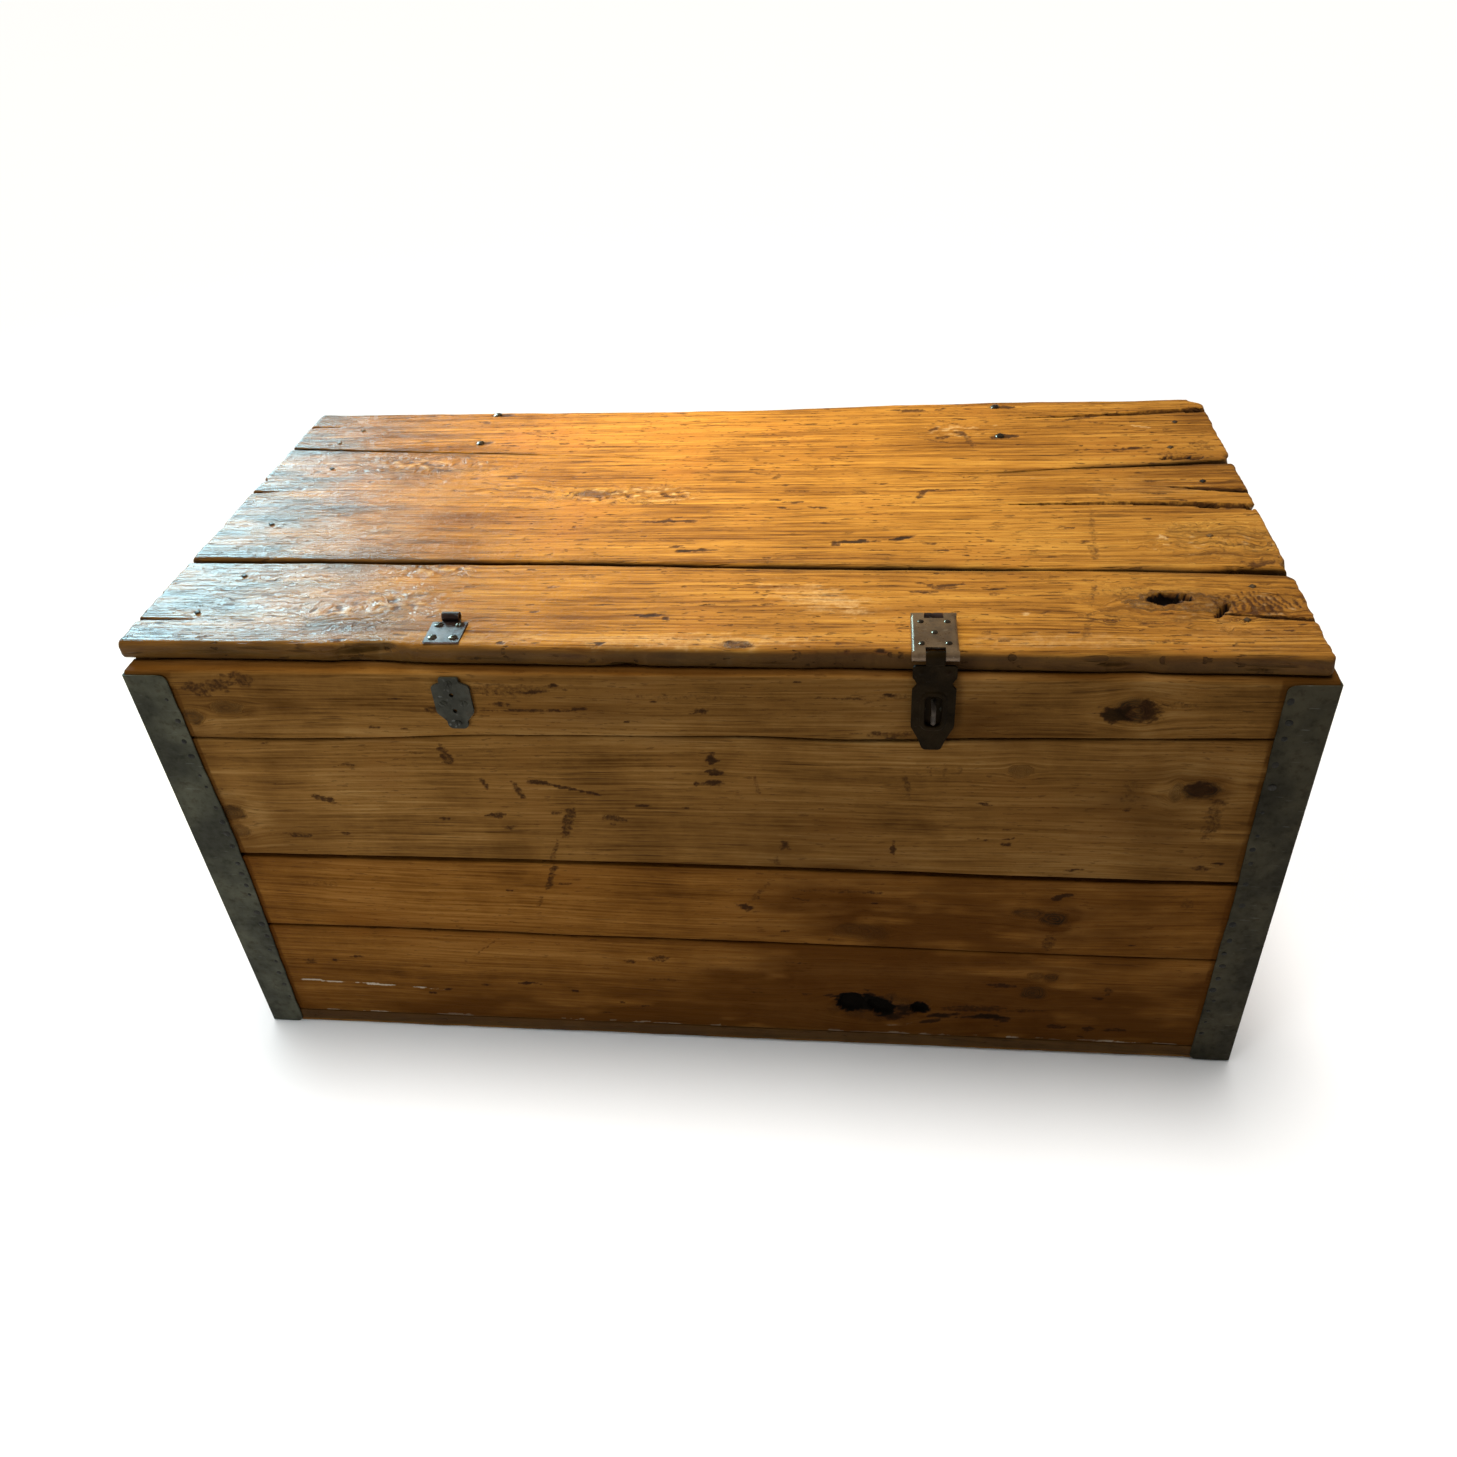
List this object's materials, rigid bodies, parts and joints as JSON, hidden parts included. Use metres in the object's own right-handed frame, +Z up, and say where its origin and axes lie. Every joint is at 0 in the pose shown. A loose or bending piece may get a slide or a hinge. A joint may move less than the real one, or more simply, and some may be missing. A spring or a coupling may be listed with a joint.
{
  "type": "wooden trunk",
  "caption": "Plank-built wooden storage trunk with a hinged flat lid, sheet-steel corner straps, a double-hinged hasp over a staple, and iron drop handles.",
  "frame": {"origin": "on the floor under the middle of the box", "axes": "+X to the right along the front, +Y from the front to the back, +Z up"},
  "size_m": [1.021, 0.5275, 0.4894],
  "materials": {
    "box_wood": "worn oiled softwood, dark and stained",
    "lid_wood": "worn oiled softwood, honey coloured",
    "inner_wood": "bare sawn softwood",
    "strap_steel": "dull oxidised sheet steel",
    "plate_steel": "worn blue-grey sheet steel",
    "hasp_iron": "brown-black patina, bright on worn edges",
    "hinge_iron": "dark iron with light rust",
    "handle_iron": "dark iron, smooth where it is held",
    "nail_iron": "rusted iron"
  },
  "bodies": {
    "box": {"back_board_bottom": "box_wood", "back_board_middle": "box_wood", "back_board_top": "box_wood", "bottom_board_back": "box_wood", "bottom_board_front": "box_wood", "bottom_board_middle": "box_wood", "corner_post_back_left": "inner_wood", "corner_post_back_right": "inner_wood", "corner_post_front_left": "inner_wood", "corner_post_front_right": "inner_wood", "corner_strap_back_left": "strap_steel", "corner_strap_back_right": "strap_steel", "corner_strap_front_left": "strap_steel", "corner_strap_front_right": "strap_steel", "front_board_bottom": "box_wood", "front_board_lower": "box_wood", "front_board_top": "box_wood", "front_board_upper": "box_wood", "handle_clips_left": "handle_iron", "handle_clips_right": "handle_iron", "handle_screws": "handle_iron", "hinge_back_leaf_left": "hinge_iron", "hinge_back_leaf_right": "hinge_iron", "hinge_pin_left": "hinge_iron", "hinge_pin_right": "hinge_iron", "hinge_screws": "hinge_iron", "left_end_board_bottom": "box_wood", "left_end_board_middle": "box_wood", "left_end_board_top": "box_wood", "right_end_board_bottom": "box_wood", "right_end_board_middle": "box_wood", "right_end_board_top": "box_wood", "staple": "hasp_iron", "staple_plate_left": "plate_steel", "staple_plate_right": "plate_steel", "staple_plate_screws": "plate_steel"},
    "lid": {"lid_board_front": "lid_wood", "lid_board_middle": "lid_wood", "lid_board_back": "lid_wood", "lid_batten_left": "inner_wood", "lid_batten_right": "inner_wood", "lid_batten_nails": "nail_iron", "hinge_lid_leaf_left": "hinge_iron", "hinge_lid_leaf_right": "hinge_iron", "hinge_rivets": "hinge_iron", "hasp_base_plate_left": "plate_steel", "hasp_base_plate_right": "plate_steel", "hasp_base_screws": "plate_steel", "hasp_back_pin": "hasp_iron"},
    "hasp_cover": {"hasp_cover_leaf": "hasp_iron", "hasp_cover_rivets": "hasp_iron", "hasp_front_pin": "hasp_iron"},
    "hasp_strap": {"hasp_slotted_strap": "hasp_iron"},
    "handle_left": {"handle_bail_left": "handle_iron"},
    "handle_right": {"handle_bail_right": "handle_iron"}
  },
  "joints": [
    {"name": "lid_hinge", "type": "hinge", "parent": "box", "child": "lid", "pos_m": [-0.009, 0.2559, 0.4556], "axis": [-1, 0, 0], "range_deg": [0, 140]},
    {"name": "hasp_cover_hinge", "type": "hinge", "parent": "lid", "child": "hasp_cover", "pos_m": [0.191, -0.1955, 0.4839], "axis": [-1, 0, 0], "range_deg": [0, 165]},
    {"name": "hasp_strap_hinge", "type": "hinge", "parent": "hasp_cover", "child": "hasp_strap", "pos_m": [0.191, -0.252, 0.4839], "axis": [-1, 0, 0], "range_deg": [0, 95]},
    {"name": "left_handle_swing", "type": "hinge", "parent": "box", "child": "handle_left", "pos_m": [-0.5044, 0, 0.34114], "axis": [0, 1, 0], "range_deg": [0, 170]},
    {"name": "right_handle_swing", "type": "hinge", "parent": "box", "child": "handle_right", "pos_m": [0.5044, 0, 0.34114], "axis": [0, -1, 0], "range_deg": [0, 170]}
  ]
}
